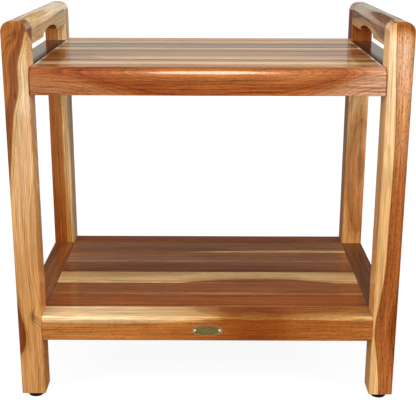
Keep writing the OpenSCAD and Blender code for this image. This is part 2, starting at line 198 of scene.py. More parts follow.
# What the deepest figure, the palest figure and one step of Depth multiply the ground colour by
DARKEST, PALEST, STAIN = (0.26, 0.16, 0.14, 1), (1.9, 2.1, 2.2, 1), (0.51, 0.28, 0.1, 1)
PLAIN = (1, 1, 1, 1)


def figure_group():
    """The figure of oiled teak over its Ground colour: rings that end in a thin dark line and start
    with a pale one, runs of darker and lighter wood, cloudy patches, long and short fibres, and
    open pores. Depth makes all of it deeper in colour."""
    tree, given, result = group("teak_figure", {
        "Ground": "Color", "Place": "Vector", "Shell": "Float", "Knot": "Float", "Seed": "Float",
        "Ring Width": "Float", "Rings": "Float", "Streaks": "Float", "Fibres": "Float",
        "Pores": "Float", "Depth": "Float"}, {"Color": "Color", "Roughness": "Float", "Height": "Float"})
    place, seed = given["Place"], given["Seed"]
    along = apart(tree, place)[0]
    shell = wire(tree, "CombineXYZ", {0: along, 1: given["Shell"], 2: seed}).outputs[0]
    brightness = wire(tree, "RGBToBW", {0: given["Ground"]}).outputs[0]

    def on_dark(pale, dark, least):
        """1 where the ground is as dark as dark, and least where it is as pale as pale."""
        return calc(tree, "MULTIPLY_ADD", ramp(tree, brightness, pale, dark), 1 - least, least)

    uneven = noise(tree, shell, UNEVEN, seed)
    jitter = noise(tree, place, JITTER, seed)
    turns = calc(tree, "DIVIDE", given["Shell"], given["Ring Width"])
    turns = calc(tree, "MULTIPLY_ADD", uneven, UNEVEN_RINGS, turns)
    turns = calc(tree, "MULTIPLY_ADD", jitter, JITTER_RINGS, turns)
    part = calc(tree, "FRACT", turns)
    ripen = ramp(tree, part, RIPE_FROM, STOP)
    stop = ramp(tree, part, 1.0, STOP)
    strength = wire(tree, "TexWhiteNoise", {"W": calc(tree, "ADD", calc(tree, "FLOOR", turns), seed)},
                    noise_dimensions="1D").outputs["Value"]
    ring = calc(tree, "MULTIPLY", calc(tree, "MULTIPLY", ripen, stop), strength)
    pale = calc(tree, "MULTIPLY", ramp(tree, part, PALE_TO, PALE_FROM), strength)

    runs = noise(tree, shell, RUNS, seed, detail=5.0, rough=0.68)
    patches = noise(tree, place, PATCHES, seed)
    long_fibres = noise(tree, place, LONG_FIBRES, seed)
    fibres = noise(tree, place, SHORT_FIBRES, seed, rough=0.6)
    dashes = noise(tree, place, DASHES, seed, detail=1.0)
    pore = calc(tree, "MULTIPLY", ramp(tree, dashes, PORE_FROM, PORE_TO), given["Pores"])
    pore = calc(tree, "MULTIPLY", pore, on_dark(*PORE_WOOD))
    hairs = calc(tree, "MULTIPLY_ADD", long_fibres, LONG_SHARE, fibres)
    hairs = calc(tree, "SUBTRACT", hairs, HAIR_MEAN)

    runs = calc(tree, "MULTIPLY", calc(tree, "SUBTRACT", runs, MEAN), given["Streaks"])
    depth = calc(tree, "MULTIPLY", runs, on_dark(*RUN_WOOD))
    depth = calc(tree, "MULTIPLY_ADD", calc(tree, "SUBTRACT", patches, MEAN), PATCH_DEPTH, depth)
    depth = calc(tree, "MULTIPLY_ADD", hairs, given["Fibres"], depth)
    ring_depth = calc(tree, "MULTIPLY_ADD", pale, PALE_DEPTH, calc(tree, "SUBTRACT", ring, RING_MEAN))
    depth = calc(tree, "MULTIPLY_ADD", ring_depth, given["Rings"], depth)
    depth = calc(tree, "MULTIPLY_ADD", pore, PORE_DEPTH, depth)
    depth = calc(tree, "MULTIPLY_ADD", given["Knot"], KNOT_DEPTH, depth)
    down = calc(tree, "MULTIPLY", depth, 1.0, clamp=True)
    up = calc(tree, "MULTIPLY", depth, -1.0, clamp=True)
    taken = calc(tree, "MULTIPLY", given["Depth"], on_dark(*STAIN_WOOD))
    stain = wire(tree, "Gamma", {0: STAIN, 1: taken}).outputs[0]
    colour = blend(tree, 1.0, given["Ground"], stain, "MULTIPLY")
    colour = blend(tree, 1.0, colour, blend(tree, down, PLAIN, DARKEST), "MULTIPLY")
    colour = blend(tree, 1.0, colour, blend(tree, up, PLAIN, PALEST), "MULTIPLY")
    tree.links.new(colour, result["Color"])

    rough = calc(tree, "MULTIPLY_ADD", hairs, HAIR_ROUGH, PLAIN_ROUGH)
    tree.links.new(calc(tree, "MULTIPLY_ADD", pore, PORE_ROUGH, rough), result["Roughness"])
    height = calc(tree, "MULTIPLY_ADD", pore, PORE_HEIGHT, calc(tree, "MULTIPLY", fibres, FIBRE_HEIGHT))
    tree.links.new(calc(tree, "MULTIPLY_ADD", ring, RING_HEIGHT, height), result["Height"])
    return tree


TRUNK = trunk_group()
KNOT = knot_group()
FIGURE = figure_group()
ALONG = {"X": Euler((0, 0, 0)), "Y": Euler((0, 0, -math.pi / 2)),
         "Z": Euler((math.pi / 2, 0, math.pi / 2))}
MM = 0.001
BAND_REACH = 30  # millimetres from a board's middle that its bands cover
BOARD_REACH = 300  # millimetres from a board's middle that its bends and depths cover
SEED_STEP = 0.37  # metres along the trunk from one board to the next
DEPTH_REACH = 2.0  # the greatest change of depth along a board
GLOSS, POLISH_IOR = 0.1, 1.5  # the bare wood hardly shines, and the polish over it does
GRAIN_HEIGHT, GRAIN_BUMP = 0.4 * MM, 0.25
ENDS_BLUR = 1.003  # a change at a board's ends is full this many times as far out as it starts

# Tones of oiled teak, from sapwood to the darkest heartwood
CREAM = (250, 210, 158)
SAPWOOD = (226, 178, 128)
STRAW = (222, 174, 112)
TAN = (198, 146, 88)
HONEY = (204, 136, 68)
GOLD = (182, 110, 48)
AMBER = (180, 106, 50)
RUST = (168, 88, 36)
BROWN = (146, 82, 40)
HAZEL = (138, 92, 56)
PLUM = (160, 106, 72)
ROSE = (226, 164, 118)
FLESH = (190, 128, 84)
UMBER = (114, 64, 36)
DARK = (82, 42, 24)


def along_board(tree, place, points, reach):
    """A value that changes along a board: points are its places and the values there."""
    curve = wire(tree, "FloatCurve", {"Value": place})
    first, last = curve.mapping.curves[0].points
    scaled = [(0.5 + at / 2 / BOARD_REACH, 0.5 + value / 2 / reach) for at, value in points]
    first.location = (0, scaled[0][1])
    last.location = (1, scaled[-1][1])
    for spot in scaled:
        curve.mapping.curves[0].points.new(*spot)
    curve.mapping.update()
    return calc(tree, "MULTIPLY", calc(tree, "SUBTRACT", curve.outputs[0], 0.5), 2 * reach)


def grow(tree, place, start, bend, seed, wander, reach, knots):
    """How far out a point's shell lies in the trunk round a board, and how much of a knot it is."""
    trunk = wire(tree, "Group", {"Place": place, "Bend": bend, "Seed": seed, "Wander": wander * MM,
                                 "Reach": reach}, node_tree=TRUNK)
    shell, knotty = trunk.outputs["Shell"], 0.0
    for across, deep, at, size in knots:
        knot = wire(tree, "Group", {"Place": place, "Shell": shell, "Knot": knotty, "Size": size * MM,
                                    "Centre": start + Vector((at, across, deep)) * MM}, node_tree=KNOT)
        shell, knotty = knot.outputs["Shell"], knot.outputs["Knot"]
    return shell, knotty


def banded(tree, shell, pith, bands):
    """The colour of the wood at a shell: each band's tone at its place, blending into the next."""
    out = calc(tree, "SUBTRACT", shell, Vector(pith).length * MM)
    out = calc(tree, "MULTIPLY_ADD", out, 0.5 / BAND_REACH / MM, 0.5)
    ground = wire(tree, "ValToRGB", {0: out})
    stops = ground.color_ramp.elements
    while len(stops) > 1:
        stops.remove(stops[0])
    for number, (at, tone) in enumerate(bands):
        spot = 0.5 + at / 2 / BAND_REACH
        stop = stops.new(spot) if number else stops[0]
        stop.position = spot
        stop.color = shade(*tone)
    return ground.outputs[0]


def teak_board(node, grain, pith, bands, bends=((0, 0),), depths=((0, 0),), knots=(), seed=1.0, wander=3,
               reach=0.25, ring_width=3.5, rings=0.5, streaks=1.8, fibres=1.3, pores=0.3, ends=None,
               coat=0.7, haze=0.06):
    """Gives a board its own piece of a trunk, which seed picks. grain is the axis that its fibres
    follow. Lengths are in millimetres from the board's middle. pith is where the trunk's middle
    lies, across and deep. bands are the tones that follow one another outwards from the pith, each
    with its distance from the board's middle. bends are how far the bands shift outwards at places
    along the board, depths how much deeper its colour is there, and knots their across, deep, along
    and size. ends is how far from the middle both ends change, and by what depth. wander is how far
    the shells wander, and reach over what length in metres. rings, streaks, fibres and pores are how
    strong each is, coat how strong the polish is, and haze how rough it is."""
    low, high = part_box(node)
    turn = ALONG[grain].to_matrix()
    start = Vector((seed * SEED_STEP, -pith[0] * MM, -pith[1] * MM))
    material, tree, shader = new_finish(node + "_teak")
    place = wire(tree, "Mapping", {
        "Vector": place_on(tree), "Location": start - turn @ ((low + high) / 2),
        "Rotation": turn.to_euler()}).outputs[0]
    along = apart(tree, place)[0]
    along = calc(tree, "DIVIDE", calc(tree, "SUBTRACT", along, start.x), 2 * BOARD_REACH * MM)
    along = calc(tree, "ADD", along, 0.5)
    bend = calc(tree, "MULTIPLY", along_board(tree, along, bends, BAND_REACH), -MM)
    shell, knotty = grow(tree, place, start, bend, seed, wander, reach, knots)
    depth = along_board(tree, along, depths, DEPTH_REACH)
    # A deeper depth at the ends paints shadow where a board meets the posts, and a paler one paints a
    # highlight on its eased ends.
    if ends:
        off_middle = calc(tree, "ABSOLUTE", calc(tree, "SUBTRACT", along, 0.5))
        end_at = ends[0] / 2 / BOARD_REACH
        past_it = ramp(tree, off_middle, end_at, ENDS_BLUR * end_at)
        depth = calc(tree, "MULTIPLY_ADD", past_it, ends[1], depth)

    figure = wire(tree, "Group", {
        "Ground": banded(tree, shell, pith, bands), "Place": place, "Shell": shell, "Knot": knotty,
        "Seed": seed, "Ring Width": ring_width * MM, "Rings": rings, "Streaks": streaks,
        "Fibres": fibres, "Pores": pores, "Depth": depth}, node_tree=FIGURE)
    tree.links.new(figure.outputs["Color"], shader.inputs["Base Color"])
    tree.links.new(figure.outputs["Roughness"], shader.inputs["Roughness"])
    emboss(tree, figure.outputs["Height"], GRAIN_BUMP, GRAIN_HEIGHT)
    shader.inputs["Specular IOR Level"].default_value = GLOSS
    shader.inputs["Coat Weight"].default_value = coat
    shader.inputs["Coat IOR"].default_value = POLISH_IOR
    shader.inputs["Coat Roughness"].default_value = haze
    dress(node, material)
    return material


# Left front: brown heartwood on the left with dark lines beside its edge, then sapwood
teak_board("left_front_post", "Z", pith=(-100, 20), seed=1.0, wander=1, ring_width=3, rings=0.6,
           fibres=1.1,
           bands=((-17.7, GOLD), (-17, UMBER), (-16.3, GOLD), (-9.3, RUST), (-8.5, UMBER), (-7.7, BROWN),
                  (-4.6, BROWN), (-4, UMBER), (-3.3, BROWN), (-1, BROWN), (0.3, TAN), (2, STRAW),
                  (8, SAPWOOD), (16, SAPWOOD)),
           bends=((-235, -16), (-200, -10), (-165, -0.5), (-135, -5), (-60, -15), (0, -14), (52, -8),
                  (104, -3), (132, 0), (147, 3), (157, 5), (166, 7.5), (173, 8), (192, 8), (204, 9),
                  (218, 12.5), (238, 18), (250, 24)),
           depths=((-240, 0.45), (-190, 0.42), (-60, 0.34), (0, 0.2), (40, 0.08), (90, 0),
                   (125, 0), (150, -0.2), (180, -0.14), (215, -0.1), (250, 0)),
           knots=((1, -18, 238, -8), (-2, -18, 160, -3), (4, -18, -138, 8)))
# Right front: a strip of sapwood on the inside, heartwood that darkens outwards and downwards,
# and a head that deepens to its top, painted shade on its rounded top
teak_board("right_front_post", "Z", pith=(120, 0), seed=2.0, wander=1, pores=1.0, rings=0.4,
           bands=((-22, GOLD), (-16, ROSE), (-2, ROSE), (-0.6, HONEY), (0.4, CREAM), (12, CREAM),
                  (20, STRAW)),
           bends=((-240, 5), (-215, 7), (-170, 13), (-163, 14), (-112, 9), (-75, 5), (-21, 4), (27, 3.6),
                  (93, 3.2), (144, 4.6), (240, 9)),
           depths=((-240, 0.84), (-200, 0.92), (-127, 1), (-71, 1), (6, 0.88), (59, 0.7), (85, 0.41),
                   (137, 0.22), (187, -0.07), (212, -0.14), (230, -0.1), (238, 0.25), (244, 0.7), (250, 1)))


def from_inner_side(node, tree, near, far):
    """Carries a value from 0 to 1 between two depths in metres below the side of a piece that faces
    the middle of the bench."""
    low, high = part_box(node)
    inner = min(abs(low.x), abs(high.x))
    return ramp(tree, calc(tree, "ABSOLUTE", apart(tree, place_on(tree))[0]), inner + near, inner + far)


# The painted light and shade on a post's inner side fade in between these depths below it, in metres
SIDE_LIGHT_FROM, SIDE_LIGHT_TO = 0.002, 0.0002


def painted_side_light(post, tint):
    """Tints the side of a post that faces the seat with painted light and shade for how that side is lit."""
    tree = bpy.data.materials[post + "_teak"].node_tree
    base = tree.nodes["Principled BSDF"].inputs["Base Color"]
    wood = base.links[0].from_socket
    tinted = blend(tree, 1.0, wood, tint, "MULTIPLY")
    tree.links.new(blend(tree, from_inner_side(post, tree, SIDE_LIGHT_FROM, SIDE_LIGHT_TO), wood, tinted), base)


# Painted light and shade on the inner sides of the front posts: warmer on the left, deeper on the right
painted_side_light("left_front_post", (1.15, 1.0, 0.68, 1))
painted_side_light("right_front_post", (1.0, 0.86, 0.66, 1))

# The back posts: the left one is heartwood for two thirds, and the right one is cut beside the pith
teak_board("left_back_post", "Z", pith=(-100, 0), seed=3.0,
           bands=((-16, RUST), (-4, GOLD), (5, GOLD), (7, STRAW), (12, STRAW), (16, CREAM)),
           depths=((-240, 0.85), (-100, 0.5), (0, 0), (240, -0.1)))
teak_board("right_back_post", "Z", pith=(8, 50), seed=4.0, ring_width=2.5, rings=0.4,
           streaks=1.2,
           bands=((8, GOLD), (15, AMBER), (18, GOLD), (20, HONEY), (24, HONEY), (26, STRAW)),
           bends=((-200, -3), (0, 3), (170, -3), (240, 4)),
           depths=((-240, -0.2), (-60, -0.3), (60, -0.55), (120, -0.5), (160, 0), (195, 0.8),
                   (240, 0.8)))

# ---------------------------------------------------------------- grips
# A teak grip is tenoned between the front and back post on each side and shaped like the post
# heads. A finger scallop is cut underneath, and painted shade darkens its soffit. Every cut edge is
# eased by hand.
GRIPS = {
    "left": teak_board(
        "left_grip", "Y", pith=(50, 20), seed=5.0, streaks=0.8, rings=0.35,
        bands=((-14, HONEY), (-6, TAN), (2, STRAW), (16, STRAW)),
        depths=((-130, -0.15), (0, -0.2), (130, -0.35))),
    # The hazel bands over the top of the right grip are its wood, deepened as painted shade on the face that
    # looks up.
    "right": teak_board(
        "right_grip", "Y", pith=(0, 80), seed=6.0, rings=0.4, streaks=0.9,
        bands=((-18, HAZEL), (-12, HAZEL), (-6, PLUM), (-1, PLUM), (0, UMBER), (0.8, TAN), (14, STRAW)),
        bends=((-150, 15), (-127, 12), (-63, 4.5), (0, -1), (60, -1), (132, 6)),
        depths=((-150, -0.2), (0, -0.1), (150, 0.1)))}
# The painted shade under a grip: how far it reaches each side of the middle and up from the bottom, how soft
# its edge is, and how deep it is
SOFFIT_SHADE_R, SOFFIT_SHADE_H, SOFFIT_SHADE_BLUR, SOFFIT_SHADE_DEPTH = 0.0145, 0.015, 0.001, 1.3
EASE_R, EASE_STEPS = 0.0008, 3
CUT_ANGLE = math.radians(40)  # an edge that is sharper than this is eased
FLAT_ANGLE = math.radians(0.5)
GRIP_MERGE = 0.00002


def painted_soffit_shade(side):
    """Deepens the colour low in the middle of the grip, painted shade on the soffit of the scallop."""
    tree = GRIPS[side].node_tree
    low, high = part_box(side + "_grip")
    x, _, z = apart(tree, place_on(tree))
    off = calc(tree, "ABSOLUTE", calc(tree, "SUBTRACT", x, (low.x + high.x) / 2))
    beside = ramp(tree, off, SOFFIT_SHADE_R + SOFFIT_SHADE_BLUR, SOFFIT_SHADE_R)
    below = ramp(tree, z, low.z + SOFFIT_SHADE_H + SOFFIT_SHADE_BLUR, low.z + SOFFIT_SHADE_H)
    figure = next(node for node in tree.nodes if node.type == "GROUP" and node.node_tree == FIGURE)
    depth = figure.inputs["Depth"].links[0].from_socket
    # The painted shade covers the soffit: near the middle and low on the grip
    core = calc(tree, "MULTIPLY", beside, below)
    tree.links.new(calc(tree, "MULTIPLY_ADD", core, SOFFIT_SHADE_DEPTH, depth), figure.inputs["Depth"])


def new_piece(name, made, material, body, replaced):
    """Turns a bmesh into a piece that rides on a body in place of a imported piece."""
    mesh = bpy.data.meshes.new(name)
    made.to_mesh(mesh)
    made.free()
    mesh.materials.append(material)
    piece = bpy.data.objects.new(name, mesh)
    bpy.context.scene.collection.objects.link(piece)
    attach(piece, body)
    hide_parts(replaced)


def eased_grip(side):
    """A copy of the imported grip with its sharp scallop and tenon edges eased."""
    eased = bmesh.new()
    eased.from_mesh(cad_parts[side + "_grip"].data)
    bmesh.ops.remove_doubles(eased, verts=eased.verts, dist=GRIP_MERGE)
    bmesh.ops.dissolve_limit(eased, angle_limit=FLAT_ANGLE, verts=eased.verts, edges=eased.edges)
    sharp = [e for e in eased.edges if len(e.link_faces) == 2 and e.calc_face_angle() > CUT_ANGLE]
    bmesh.ops.bevel(eased, geom=sharp, offset=EASE_R, segments=EASE_STEPS, profile=0.5, affect="EDGES",
                    clamp_overlap=True, material=-1)
    new_piece(side + "_grip_eased", eased, GRIPS[side], "bench", side + "_grip")


for side in ("left", "right"):
    painted_soffit_shade(side)
    eased_grip(side)

# ---------------------------------------------------------------- seat
# The seat's teak frame is tenoned into the posts: a front rail with a bullnose, a back rail and
# two side rails. Six slats lie between the side rails, on tongues in their grooves.
# The rail's ends are deepened, a painted shadow where it meets the posts. Its depths run from deep at the
# left end to pale at the right end, which is partly a painted light reflected from the post beside it.
teak_board("seat_front_rail", "X", pith=(45, -35), seed=7.0, wander=4, ring_width=1.8, rings=0.6,
           streaks=1.3, fibres=1.7, pores=0.6, ends=(220.5, 1.2), haze=0.14,
           bands=((-16, GOLD), (-1, GOLD), (3, FLESH), (12.5, FLESH), (17.5, RUST), (21, RUST),
                  (26, AMBER), (30, AMBER)),
           bends=((-230, 4), (-180, 2.5), (-110, -5), (-60, -9), (60, -9), (100, -8.5), (130, -6),
                  (165, -1), (180, 2.5), (200, 5), (230, 6)),
           depths=((-237, 0.22), (-120, 0.24), (0, 0.12), (140, -0.02), (180, -0.16), (212, -0.32),
                   (237, -0.36)))
PLAIN_PITH = (20, -60)  # of a plain rail or batten, which is sawn from over the pith
teak_board("seat_back_rail", "X", pith=PLAIN_PITH, seed=8.0, bands=((-8, BROWN), (8, GOLD)))
# The seat's polish, the thin polish of the painted dark reflection along a side rail's inner edge, and the
# depths in metres past that edge where it starts to thicken and is full
SEAT_COAT, DULL_COAT, DULL_TO, BRIGHT_FROM = 0.62, 0.15, 0.002, 0.013


def painted_grip_reflection(node, tree):
    """Thins the polish of a side rail beside the ends of the slats, a painted dark reflection of the grip
    above it.
    """
    polish = from_inner_side(node, tree, DULL_TO, BRIGHT_FROM)
    coat = calc(tree, "MULTIPLY_ADD", polish, SEAT_COAT - DULL_COAT, DULL_COAT)
    tree.links.new(coat, tree.nodes["Principled BSDF"].inputs["Coat Weight"])


for rail, seed in (("seat_left_rail", 9.0), ("seat_right_rail", 10.0)):
    wood = teak_board(rail, "Y", pith=PLAIN_PITH, seed=seed, bands=((-8, BROWN), (2, UMBER), (8, DARK)))
    painted_grip_reflection(rail, wood.node_tree)

# The slats are cut across the rings, so that their bands run as stripes along them
SLAT_PITH = (-150, -40)
SEAT_SLATS = (
    dict(bands=((-20, GOLD), (-16, STRAW), (-8, CREAM), (0, STRAW), (8, GOLD), (20, HAZEL)),
         knots=((14, 7, -138, -6),)),
    # Slats 2 and 3 deepen towards their left ends: painted shade and a painted dark reflection of the left
    # post and grip.
    dict(bands=((-18, HAZEL), (-13, TAN), (-8, STRAW), (-3, STRAW), (4, GOLD), (12, HONEY), (20, HAZEL)),
         knots=((-2, 7, -158, -9),), depths=((-230, 0.7), (-190, 0.5), (-140, 0), (230, 0))),
    dict(bands=((-20, GOLD), (-8, HAZEL), (5, HAZEL), (20, GOLD)),
         depths=((-230, 0.6), (-190, 0.4), (-140, 0), (230, 0))),
    dict(bands=((-20, HAZEL), (-8, HAZEL), (2, GOLD), (8, STRAW), (18, STRAW), (20, TAN))),
    dict(bands=((-20, HAZEL), (0, HAZEL), (12, DARK), (20, DARK)), knots=((0, 7, -160, -8),)),
    dict(bands=((-20, HAZEL), (0, TAN), (15, TAN))))
# Both ends of every seat slat are paler, a painted highlight along their eased ends.
for number, look in enumerate(SEAT_SLATS, start=1):
    teak_board(f"seat_slat_{number}", "X", pith=SLAT_PITH, seed=10.0 + number, ends=(217.5, -0.7),
               coat=SEAT_COAT, **look)

# ---------------------------------------------------------------- shelf
# The shelf is framed as the seat is, with a plain front rail, which has sapwood along the top of
# its left half. Its six slats are tongued into its side rails.
teak_board("shelf_front_rail", "X", pith=(10, -80), seed=20.0, rings=0.35, streaks=0.8, fibres=1.6,
           pores=0.7,
           bands=((-12, GOLD), (11, GOLD), (13, TAN), (14.5, STRAW), (20, CREAM)),
           bends=((-237, 0), (-60, 0), (-25, 1), (0, 3), (40, 6.8), (60, 5.4), (90, 6.8), (120, 6.2),
                  (170, 5.2), (237, 4.2)),
           depths=((-237, -0.12), (-100, 0), (0, 0.3), (74, 0.75), (120, 0.35), (237, 0.1)))
teak_board("shelf_back_rail", "X", pith=PLAIN_PITH, seed=21.0, bands=((-8, UMBER), (8, BROWN)))
for side, seed, tone in (("left", 22.0, BROWN), ("right", 23.0, UMBER)):
    teak_board(f"shelf_{side}_rail", "Y", pith=PLAIN_PITH, seed=seed, bands=((-8, BROWN), (8, tone)))
SHELF_SLATS = (
    dict(bands=((-20, BROWN), (0, RUST), (20, BROWN))),
    dict(bands=((-20, GOLD), (-17, GOLD), (-14, BROWN), (20, BROWN)), depths=((0, -0.12),)),
    dict(bands=((-22, BROWN), (-18, BROWN), (-16, TAN), (0, STRAW), (20, TAN)), depths=((0, -0.15),),
         bends=((-230, -8), (-60, -4), (0, 6), (60, 12), (110, 12), (165, 2), (230, -6))),
    dict(bands=((-20, UMBER), (20, BROWN)), depths=((0, -0.08),)),
    dict(bands=((-20, HAZEL), (0, BROWN), (20, BROWN)), depths=((-230, -0.5), (230, -0.25))),
    dict(bands=((-20, TAN), (-16, TAN), (-14, BROWN), (20, HAZEL)), depths=((0, -0.22),),
         bends=((-230, -6), (0, -2), (120, 3), (230, 3))))
for number, look in enumerate(SHELF_SLATS, start=1):
    teak_board(f"shelf_slat_{number}", "X", pith=SLAT_PITH, seed=23.0 + number, **look)

# ---------------------------------------------------------------- battens and their screws
# A teak batten under the slats of the seat, and one under those of the shelf, is let into the
# front and back rails. A countersunk steel screw goes up through it into each slat.
for node in ("seat_batten", "shelf_batten"):
    teak_board(node, "Y", pith=PLAIN_PITH, seed=32.0, bands=((-8, BROWN), (8, GOLD)))

CLOUDS, SCRATCHES = (300, 300, 300), (350, 3000, 3000)  # cycles a metre
DULL_FROM, DULL_FULL = 0.35, 0.65  # parts of the clouds' range between which the metal dulls
CLOUD_ROUGH, SCRATCH_ROUGH, SCRATCH_BUMP, SCRATCH_DEEP = 0.15, 0.1, 0.2, 0.00005


def worn_metal(name, bright, dull, roughness, metallic=1.0):
    """Metal that has dulled in clouds and carries fine scratches."""
    material, tree, shader = new_finish(name)
    place = place_on(tree)
    clouds = noise(tree, place, CLOUDS, 1.0, detail=4.0, rough=0.6)
    wear = ramp(tree, clouds, DULL_FROM, DULL_FULL)
    scratches = noise(tree, place, SCRATCHES, 2.0)
    tree.links.new(blend(tree, wear, shade(*bright), shade(*dull)), shader.inputs["Base Color"])
    rough = calc(tree, "MULTIPLY_ADD", wear, CLOUD_ROUGH, roughness)
    tree.links.new(calc(tree, "MULTIPLY_ADD", scratches, SCRATCH_ROUGH, rough), shader.inputs["Roughness"])
    emboss(tree, scratches, SCRATCH_BUMP, SCRATCH_DEEP)
    shader.inputs["Metallic"].default_value = metallic
    return material


# Each screw has a countersunk head with a cross recess, a shank and a point
STEEL = worn_metal("steel", (205, 205, 203), (170, 170, 168), 0.2)
HEAD_R, SHANK_R, SCREW_L, POINT_L, SCREW_STEPS = 0.004, 0.002, 0.026, 0.004, 32
CROSS_R, CROSS_W, CROSS_DEEP, CROSS_TAPER = 0.0021, 0.0007, 0.0015, 0.7
MERGE, TOUCH = 0.00001, 0.000001


def add_screw(made, foot):
    """A screw that stands with the face of its head at foot."""
    profile = [(HEAD_R, 0), (SHANK_R, HEAD_R - SHANK_R), (SHANK_R, SCREW_L - POINT_L), (0, SCREW_L)]
    corners = [made.verts.new(foot + Vector((r, 0, z))) for r, z in profile]
    edges = [made.edges.new(pair) for pair in zip(corners, corners[1:])]
    bmesh.ops.spin(made, geom=corners + edges, cent=foot, axis=(0, 0, 1), angle=2 * math.pi,
                   steps=SCREW_STEPS, use_merge=True)
    rim = [e for e in made.edges if e.is_boundary and all(abs(v.co.z - foot.z) < TOUCH for v in e.verts)
           and (e.verts[0].co - foot).length < HEAD_R + MERGE]
    outline = []
    for quarter in range(4):
        turned = Matrix.Rotation(quarter * math.pi / 2, 4, "Z")
        for x, y in ((CROSS_R, -CROSS_W / 2), (CROSS_R, CROSS_W / 2), (CROSS_W / 2, CROSS_W / 2)):
            outline.append(made.verts.new(foot + turned @ Vector((x, y, 0))))
    cross = [made.edges.new(pair) for pair in zip(outline, outline[1:] + outline[:1])]
    bmesh.ops.triangle_fill(made, edges=rim + cross, use_beauty=True, normal=(0, 0, -1))
    inside = [f for f in made.faces if all(v in outline for v in f.verts)]
    bmesh.ops.delete(made, geom=inside, context="FACES_ONLY")
    cross = [e for e in made.edges if e.is_boundary and all(v in outline for v in e.verts)]
    walls = bmesh.ops.extrude_edge_only(made, edges=cross)["geom"]
    deep = [v for v in walls if isinstance(v, bmesh.types.BMVert)]
    for corner in deep:
        corner.co = foot + (corner.co - foot) * CROSS_TAPER + Vector((0, 0, CROSS_DEEP))
    bmesh.ops.contextual_create(made, geom=[e for e in walls if isinstance(e, bmesh.types.BMEdge)])


for level in ("seat", "shelf"):
    screws = bmesh.new()
    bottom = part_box(f"{level}_batten_screws")[0].z
    for number in range(1, len(SEAT_SLATS) + 1):
        low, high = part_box(f"{level}_slat_{number}")
        add_screw(screws, Vector((0, (low.y + high.y) / 2, bottom)))
    bmesh.ops.remove_doubles(screws, verts=screws.verts, dist=MERGE)
    bmesh.ops.recalc_face_normals(screws, faces=screws.faces)
    new_piece(f"{level}_screws", screws, STEEL, "bench", f"{level}_batten_screws")

# ---------------------------------------------------------------- feet
# A levelling foot is a black nylon pad on a steel stud, M8 with a 1.25 mm thread, which screws
# into a brass insert in the end of a post. The pads are moulded with a fine grain and are scuffed.
CORNERS = ("left_front", "right_front", "left_back", "right_back")
MOULD_GRAIN, SCUFFS = (2500, 2500, 2500), (160, 160, 500)  # cycles a metre
SCUFFED_FROM, SCUFFED_TO = 0.5, 0.75
BLACK, SCUFFED = (16, 16, 17), (46, 45, 44)
NYLON_ROUGH, SCUFF_ROUGH, MOULD_BUMP, MOULD_DEEP = 0.35, 0.25, 0.3, 0.0001


def black_nylon():
    """Moulded nylon, paler and duller where it has scuffed."""
    material, tree, shader = new_finish("nylon")
    place = place_on(tree)
    grain = noise(tree, place, MOULD_GRAIN, 1.0)
    scuffs = ramp(tree, noise(tree, place, SCUFFS, 2.0, detail=4.0), SCUFFED_FROM, SCUFFED_TO)
    tree.links.new(blend(tree, scuffs, shade(*BLACK), shade(*SCUFFED)), shader.inputs["Base Color"])
    rough = calc(tree, "MULTIPLY_ADD", scuffs, SCUFF_ROUGH, NYLON_ROUGH)
    tree.links.new(rough, shader.inputs["Roughness"])
    emboss(tree, grain, MOULD_BUMP, MOULD_DEEP)
    return material


STUD_R, ROOT_R, PITCH, STUD_CHAMFER, TURN_STEPS = 0.004, 0.0033, 0.00125, 0.001, 32
# One turn of the thread from root to crest and back: its radius at shares of the pitch
THREAD = ((ROOT_R, 0), (ROOT_R, 0.12), (STUD_R, 0.45), (STUD_R, 0.55), (ROOT_R, 0.88), (ROOT_R, 1))
TURNS_BELOW, SPARE_TURNS = 2, 3  # the sweep starts below the stud and passes its top


def threaded_stud(corner):
    """A stud with a real thread: its profile is swept up a helix, cut off square at both ends and
    chamfered at the top."""
    low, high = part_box(f"{corner}_stud")
    middle = (low + high) / 2
    made = bmesh.new()
    corners = [made.verts.new((middle.x + r, middle.y, low.z + (part - TURNS_BELOW) * PITCH))
               for r, part in THREAD]
    edges = [made.edges.new(pair) for pair in zip(corners, corners[1:])]
    turns = math.ceil((high.z - low.z) / PITCH) + SPARE_TURNS
    bmesh.ops.spin(made, geom=corners + edges, cent=middle, axis=(0, 0, 1), angle=2 * math.pi * turns,
                   dvec=(0, 0, PITCH / TURN_STEPS), steps=turns * TURN_STEPS)
    bmesh.ops.remove_doubles(made, verts=made.verts, dist=MERGE)
    for end, way in ((low, -1), (high, 1)):
        cut = bmesh.ops.bisect_plane(made, geom=made.verts[:] + made.edges[:] + made.faces[:], plane_co=end,
                                     plane_no=(0, 0, way), clear_outer=True)["geom_cut"]
        bmesh.ops.contextual_create(made, geom=[e for e in cut if isinstance(e, bmesh.types.BMEdge)])
    for vert in made.verts:
        off = Vector((vert.co.x - middle.x, vert.co.y - middle.y))
        room = STUD_R - STUD_CHAMFER + high.z - vert.co.z
        if off.length > room:
            vert.co.x = middle.x + off.x * room / off.length
            vert.co.y = middle.y + off.y * room / off.length
    bmesh.ops.recalc_face_normals(made, faces=made.faces)
    new_piece(f"{corner}_thread", made, STEEL, f"{corner}_screw", f"{corner}_stud")


NYLON = black_nylon()
INSERT_BRASS = worn_metal("insert_brass", (214, 176, 104), (160, 126, 70), 0.3)
for corner in CORNERS:
    threaded_stud(corner)
    dress(f"{corner}_pad", NYLON)
    dress(f"{corner}_insert", INSERT_BRASS)

# ---------------------------------------------------------------- badge
# An oval brass plate, bare and darkened with age, is let into the front rail of the shelf. Its
# raised rim is brightened with a painted highlight, and two pins, near white with painted highlights, hold
# it.
RIM_FROM, RIM_TO, RIM_HIGHLIGHT = 0.84, 0.92, (204, 174, 116)  # shares of the way from its middle to its edge


